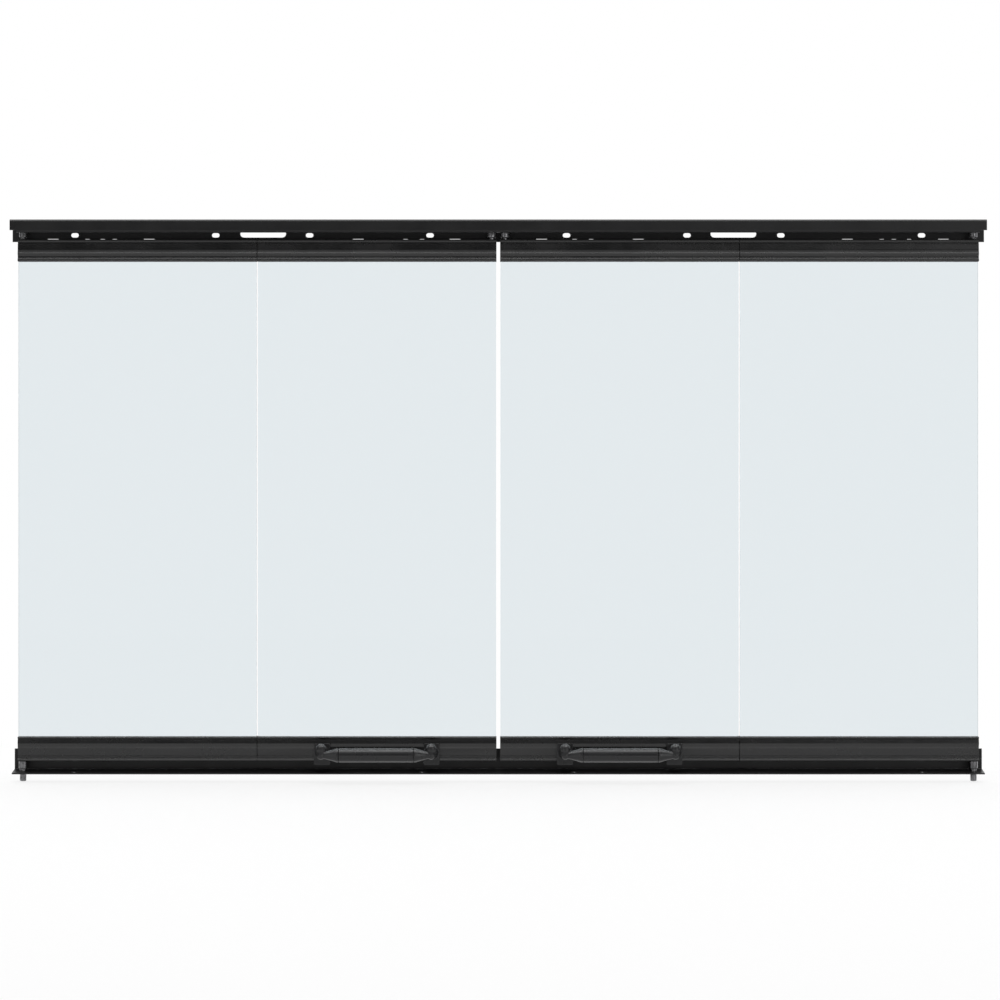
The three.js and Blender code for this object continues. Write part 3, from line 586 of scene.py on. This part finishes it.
# The mount's foot, which lies against the rail
FOOT = {"width": 0.015, "height": 0.020, "thickness": 0.0024, "low": -0.0042, "front": -0.0192,
        "corner": 0.001}
# The stem's thickness as [radius, share of its reach], from the foot to the ball
STEM = [(0.0066, 0), (0.0066, 0.04), (0.0058, 0.1), (0.0052, 0.18), (0.0048, 0.4), (0.0044, 1)]
STEM_HEIGHT = 0.0079
STEM_SINK = 0.04  # the share of the stem's reach that is sunk in the foot
BALL = {"radius": 0.0053, "back": 0.002, "rise": 0.0052}
NECK_RADIUS = 0.0041
# The horn's throat, the even land at its end, how late it flares, and its gap to the grip
HORN = {"throat": 0.003, "land": 0.0016, "flare": 1.3, "steps": 8, "gap": 0.0003}
CASTING_GRAIN = 0.00028  # the voxel size at which a mount's pieces are run together
CASTING_PASSES = 5
GRIP_BORE = {"radius": 3.3, "depth": 10}  # millimetres
GRIP_ROUND = 0.5  # millimetres
SCREW = {
    "radius": 0.002, "point": 0.0008, "point_taper": 0.0005,
    "head_radius": 0.004, "head_height": 0.0022, "head_round": 0.001, "head_steps": 4,
    "socket_radius": 0.0015, "socket_rim": 0.0004, "socket_depth": 0.0013}


class Grip:
    """Where a grip lies: its axis, its ends and its radius."""

    def __init__(self, node):
        low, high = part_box(node)
        self.y = (low.y + high.y) / 2
        self.z = (low.z + high.z) / 2
        self.ends = (low.x, high.x)
        self.radius = (high.z - low.z) / 2


def handle_screw(node):
    """A pan-head screw with a six-sided socket, which lies along Y with its head at the back."""
    low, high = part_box(node)
    length = high.y - low.y
    seat = length - SCREW["head_height"]
    shank, head, over = SCREW["radius"], SCREW["head_radius"], SCREW["head_round"]
    turns = [math.pi / 2 * (step + 1) / SCREW["head_steps"] for step in range(SCREW["head_steps"])]
    profile = [
        (0, 0), (shank - SCREW["point_taper"], 0), (shank, SCREW["point"]), (shank, seat),
        (head, seat), (head, length - over),
        *[(head - over * (1 - math.cos(turn)), length - over * (1 - math.sin(turn)))
          for turn in turns],
        (SCREW["socket_radius"] + SCREW["socket_rim"], length)]
    screw = spun(profile, (0, 0, 0), segments=36)
    bmesh.ops.create_circle(screw, segments=6, radius=SCREW["socket_radius"], cap_ends=False,
                            matrix=Matrix.Translation((0, 0, length)))
    open_edges = [edge for edge in screw.edges if len(edge.link_faces) < 2]
    bmesh.ops.bridge_loops(screw, edges=open_edges)
    rim = [edge for edge in screw.edges if edge.is_boundary]
    walls = bmesh.ops.extrude_edge_only(screw, edges=rim)["geom"]
    floor_corners = [part for part in walls if isinstance(part, bmesh.types.BMVert)]
    bmesh.ops.translate(screw, verts=floor_corners, vec=(0, 0, -SCREW["socket_depth"]))
    floor_edges = [edge for edge in screw.edges if edge.is_boundary]
    bmesh.ops.holes_fill(screw, edges=floor_edges, sides=0)
    bmesh.ops.recalc_face_normals(screw, faces=screw.faces)
    place = Matrix.Translation(((low.x + high.x) / 2, low.y, (low.z + high.z) / 2))
    bmesh.ops.transform(screw, verts=screw.verts,
                        matrix=place @ Matrix.Rotation(-math.pi / 2, 4, "X"))
    add_piece(f"{node}_turned", screw, [node], "turned")


def lathe_along(mesh, start, end, profile, segments=40):
    """Adds a profile of [radius, distance] pairs, turned round the line from start to end."""
    earlier = set(mesh.verts)
    turn_profile(mesh, profile, segments)
    turned = [corner for corner in mesh.verts if corner not in earlier]
    bmesh.ops.remove_doubles(mesh, verts=turned, dist=SAME_SPUN_CORNER)
    turned = [corner for corner in mesh.verts if corner not in earlier]
    way = (Vector(end) - Vector(start)).to_track_quat("Z", "Y").to_matrix().to_4x4()
    bmesh.ops.transform(mesh, matrix=Matrix.Translation(start) @ way, verts=turned)


def run_together(mesh, grain, passes):
    """The pieces of a mesh as one skin, with its steps smoothed away."""
    data = bpy.data.meshes.new("casting")
    bmesh.ops.recalc_face_normals(mesh, faces=mesh.faces)
    mesh.to_mesh(data)
    mesh.free()
    rough = bpy.data.objects.new("casting", data)
    bpy.context.scene.collection.objects.link(rough)
    remesh = rough.modifiers.new("skin", "REMESH")
    remesh.mode = "VOXEL"
    remesh.voxel_size = grain
    bpy.context.view_layer.update()
    skin = bmesh.new()
    skin.from_object(rough, bpy.context.evaluated_depsgraph_get())
    bpy.data.objects.remove(rough)
    for _ in range(passes):
        bmesh.ops.smooth_vert(skin, verts=skin.verts, factor=0.5,
                              use_axis_x=True, use_axis_y=True, use_axis_z=True)
    return skin


def add_foot(mesh, foot_x):
    """Adds the flat foot of a mount, with its four corners rounded."""
    centre = (foot_x, FOOT["front"] + FOOT["thickness"] / 2, FOOT["low"] + FOOT["height"] / 2)
    bmesh.ops.create_cube(
        mesh, size=1.0, matrix=Matrix.Translation(centre)
        @ Matrix.Diagonal((FOOT["width"], FOOT["thickness"], FOOT["height"], 1)))
    corners = [edge for edge in mesh.edges
               if abs((edge.verts[1].co - edge.verts[0].co).y) > FOOT["corner"]]
    soften(mesh, corners, FOOT["corner"], segments=3)


def add_ball(mesh, centre, radius, around, upwards):
    bmesh.ops.create_uvsphere(mesh, u_segments=around, v_segments=upwards, radius=radius,
                              matrix=Matrix.Translation(centre))


def handle_mount(node, foot_x, way, grip):
    """The cast mount: a foot, a stem that rises to a ball, and a horn that opens to the grip."""
    mesh = bmesh.new()
    add_foot(mesh, foot_x)
    root = Vector((foot_x, FOOT["front"], STEM_HEIGHT))
    top = Vector((foot_x, grip.y + BALL["back"], grip.z + BALL["rise"]))
    elbow = Vector((foot_x, grip.y, grip.z))
    reach = (top - root).length
    stem = [(radius, reach * share) for radius, share in STEM]
    lathe_along(mesh, root - (top - root) * STEM_SINK, top, [(0, 0), *stem, (0, reach)])
    add_ball(mesh, top, BALL["radius"], around=40, upwards=24)
    drop = (elbow - top).length
    lathe_along(mesh, top, elbow, [(0, 0), (NECK_RADIUS, 0), (NECK_RADIUS, drop), (0, drop)])
    add_ball(mesh, elbow, NECK_RADIUS, around=32, upwards=20)
    grip_low, grip_high = grip.ends
    mouth = grip_low - HORN["gap"] if way > 0 else grip_high + HORN["gap"]
    length = abs(mouth - foot_x)
    opening = length - HORN["land"]
    shares = [step / HORN["steps"] for step in range(HORN["steps"] + 1)]
    flare = [(HORN["throat"] + (grip.radius - HORN["throat"]) * share ** HORN["flare"],
              share * opening) for share in shares]
    lathe_along(mesh, elbow, elbow + Vector((way, 0, 0)),
                [(0, 0), *flare, (grip.radius, length), (0, length)])
    casting = run_together(mesh, CASTING_GRAIN, CASTING_PASSES)
    add_piece(f"{node}_cast", casting, [node], "cast")


def handle_grip(node, grip):
    """The turned grip, bored at both ends for the mounts' spigots."""
    start, end = grip.ends
    length = end - start
    radius, bore = grip.radius * MILLIMETRES, GRIP_BORE["radius"]
    depth = GRIP_BORE["depth"] / MILLIMETRES
    outside = [(bore, 0), *rounded(radius, 0, GRIP_ROUND, True),
               *rounded(radius, length * MILLIMETRES, GRIP_ROUND, False),
               (bore, length * MILLIMETRES)]
    outside = [(across / MILLIMETRES, along / MILLIMETRES) for across, along in outside]
    bar = bmesh.new()
    lathe_along(bar, (start, grip.y, grip.z), (end, grip.y, grip.z), [
        (bore / MILLIMETRES, depth), *outside, (bore / MILLIMETRES, length - depth)],
        segments=64)
    bmesh.ops.holes_fill(bar, edges=bar.edges, sides=0)
    bmesh.ops.recalc_face_normals(bar, faces=bar.faces)
    add_piece(f"{node}_turned", bar, [node], "turned")


for side in SIDES:
    node = f"{side}_handle_grip"
    grip = Grip(node)
    handle_grip(node, grip)
    for end in DOORS:
        node = f"{side}_handle_{end}_mount"
        low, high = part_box(node)
        way = 1 if low.x < grip.ends[0] else -1
        foot_x = low.x + FOOT["width"] / 2 if way > 0 else high.x - FOOT["width"] / 2
        handle_mount(node, foot_x, way, grip)
        handle_screw(f"{side}_handle_{end}_screw")


# ---- Studio ----------------------------------------------------------------------------------

FLOOR_DROP = 0.0005
FLOOR_HALF_SIZE = (3.0, 2.0)
FLOOR_MIDDLE = -1.5  # along Y

floor_mesh = bmesh.new()
bmesh.ops.create_grid(floor_mesh, x_segments=2, y_segments=2, size=1.0,
                      matrix=Matrix.Diagonal((*FLOOR_HALF_SIZE, 1.0, 1.0)))
bmesh.ops.translate(floor_mesh, verts=floor_mesh.verts,
                    vec=(0, FLOOR_MIDDLE, cad_low.z - FLOOR_DROP))
floor_data = bpy.data.meshes.new("studio_floor")
floor_mesh.to_mesh(floor_data)
floor_mesh.free()
floor = bpy.data.objects.new("studio_floor", floor_data)
bpy.context.scene.collection.objects.link(floor)
# The floor glows so that it stays white, and gives only soft shadows
floor_paint = surface(
    "Studio floor", Base_Color=(0.12, 0.12, 0.12, 1), Roughness=0.9,
    Emission_Color=(1, 1, 1, 1), Emission_Strength=0.8)[0]
floor_data.materials.append(floor_paint)
floor.visible_glossy = False


def studio_light(name, place, target, size, brightness):
    """A softbox at a place, turned to a target, with a given brightness."""
    data = bpy.data.lights.new(name, "AREA")
    data.shape = "RECTANGLE"
    data.size, data.size_y = size
    data.energy = brightness * math.pi * size[0] * size[1]
    lamp = bpy.data.objects.new(name, data)
    lamp.location = place
    lamp.rotation_euler = (Vector(target) - Vector(place)).to_track_quat("-Z", "Y").to_euler()
    lamp.visible_camera = False
    bpy.context.scene.collection.objects.link(lamp)


studio_light("overhead", (0, -0.2, 2.0), (0, -0.2, 0.0), size=(2.6, 1.7), brightness=2.6)
studio_light("lip_light_right", (1.2, -3.3, 1.07), (0.4, 0, 0.5), size=(1.1, 0.66), brightness=0.4)
studio_light("side_left", (-2.1, -2.9, 0.75), (0, 0, 0.3), size=(1.2, 1.5), brightness=1.0)
studio_light("side_right", (2.1, -2.9, 0.75), (0, 0, 0.3), size=(1.2, 1.5), brightness=2.0)

# The room: white behind the doors, dim towards the camera, and bright above and below for the
# reflections. The brightness below starts just under what the glass can reflect, so the glass
# stays even, and falls off again further down.
world = bpy.data.worlds.new("Studio")
bpy.context.scene.world = world
world.use_nodes = True
sky = world.node_tree
background = sky.nodes["Background"]
direction = sky.nodes.new("ShaderNodeTexCoord").outputs["Generated"]
axes = sky.nodes.new("ShaderNodeSeparateXYZ")
sky.links.new(direction, axes.inputs["Vector"])
ahead, upwards = axes.outputs["Y"], axes.outputs["Z"]
behind = ramp(sky, ahead, -0.1, 0.5, 0.03, 1.0)
below = ramp(sky, upwards, -0.068, -0.1, 0.0, 0.9)
far_below = ramp(sky, upwards, -0.14, -0.4, 0.0, 0.42)
above = ramp(sky, upwards, 0.27, 0.85, 0.0, 0.45)
floor_glow = calculate(sky, "SUBTRACT", below, far_below)
room = calculate(sky, "MAXIMUM", behind, calculate(sky, "ADD", floor_glow, above))
# Seen directly or through the glass, the room is plain white
rays = sky.nodes.new("ShaderNodeLightPath")
seen = calculate(
    sky, "MAXIMUM", rays.outputs["Is Camera Ray"], rays.outputs["Is Transmission Ray"])
sky.links.new(calculate(sky, "MAXIMUM", seen, room), background.inputs["Strength"])
background.inputs["Color"].default_value = (1, 1, 1, 1)

# The lens and the place give the photograph's outlines and its view into the tracks
camera_data = bpy.data.cameras.new("camera")
camera_data.lens = 126.7
camera_data.sensor_width = 36.0
camera_data.clip_end = 50.0
camera = bpy.data.objects.new("camera", camera_data)
camera.location = (0.0016, -3.302, 0.24305)
camera.rotation_euler = (math.radians(90), 0, 0)
bpy.context.scene.collection.objects.link(camera)
bpy.context.scene.camera = camera
bpy.context.scene.view_settings.view_transform = "Standard"
bpy.context.scene.view_settings.look = "None"
